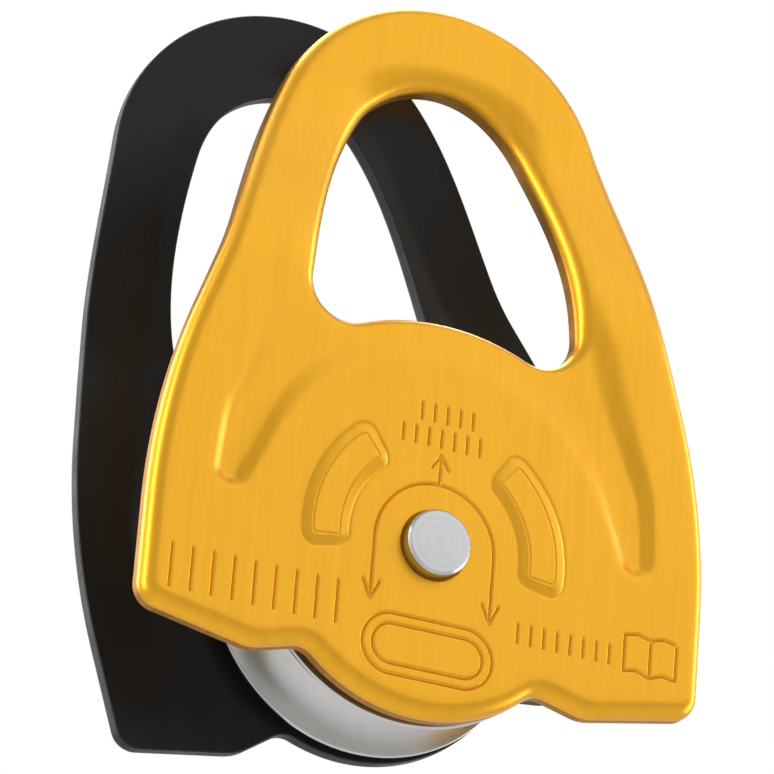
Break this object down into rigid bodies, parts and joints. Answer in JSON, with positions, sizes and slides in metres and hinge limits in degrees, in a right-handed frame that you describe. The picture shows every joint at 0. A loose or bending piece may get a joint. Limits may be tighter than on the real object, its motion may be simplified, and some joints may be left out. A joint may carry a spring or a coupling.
{
  "type": "rope pulley",
  "caption": "Small prusik-minding rope pulley with two swinging stamped side plates, a carabiner eye in each, and a grooved sheave on sealed ball bearings.",
  "frame": {"origin": "centre of the sheave, on the axle's axis, midway between the plates", "axes": "+Z from the axle towards the front plate's carabiner eye, the axle lies along Y, and the front plate faces -Y"},
  "size_m": [0.0699, 0.0257, 0.0882],
  "materials": {
    "front_plate": "gold anodised, fine brushed grain",
    "rear_plate": "satin black anodised",
    "axle": "turned stainless steel",
    "bush": "plain bronze",
    "washer": "stamped stainless steel",
    "spacer": "black low-friction plastic",
    "sheave": "turned, clear anodised",
    "bearing": "ground bearing steel",
    "ball": "polished",
    "cage": "moulded",
    "seal": "moulded"
  },
  "bodies": {
    "front_plate": {"front_side_plate": "front_plate", "axle": "axle", "front_spacer_washer": "spacer", "rear_spacer_washer": "spacer", "rivet_washer": "washer", "bearing_spacer": "bearing", "front_inner_ring": "bearing", "rear_inner_ring": "bearing"},
    "rear_plate": {"rear_side_plate": "rear_plate", "rear_plate_bush": "bush"},
    "sheave": {"sheave": "sheave", "front_outer_ring": "bearing", "rear_outer_ring": "bearing", "front_outer_seal": "seal", "front_inner_seal": "seal", "rear_outer_seal": "seal", "rear_inner_seal": "seal"},
    "front_ball_set": {"front_balls": "ball", "front_cage": "cage"},
    "rear_ball_set": {"rear_balls": "ball", "rear_cage": "cage"}
  },
  "joints": [
    {"name": "rear_plate_swing", "type": "hinge", "parent": "front_plate", "child": "rear_plate", "pos_m": [0, 0, 0], "axis": [0, 1, 0], "continuous": true},
    {"name": "sheave_spin", "type": "hinge", "parent": "front_plate", "child": "sheave", "pos_m": [0, 0, 0], "axis": [0, 1, 0], "continuous": true},
    {"name": "front_ball_set_spin", "type": "hinge", "parent": "front_plate", "child": "front_ball_set", "pos_m": [0, 0, 0], "axis": [0, 1, 0], "continuous": true},
    {"name": "rear_ball_set_spin", "type": "hinge", "parent": "front_plate", "child": "rear_ball_set", "pos_m": [0, 0, 0], "axis": [0, 1, 0], "continuous": true}
  ],
  "couplings": [
    {"joint": "front_ball_set_spin", "follows": "sheave_spin", "ratio": 0.5983},
    {"joint": "rear_ball_set_spin", "follows": "sheave_spin", "ratio": 0.5983}
  ]
}
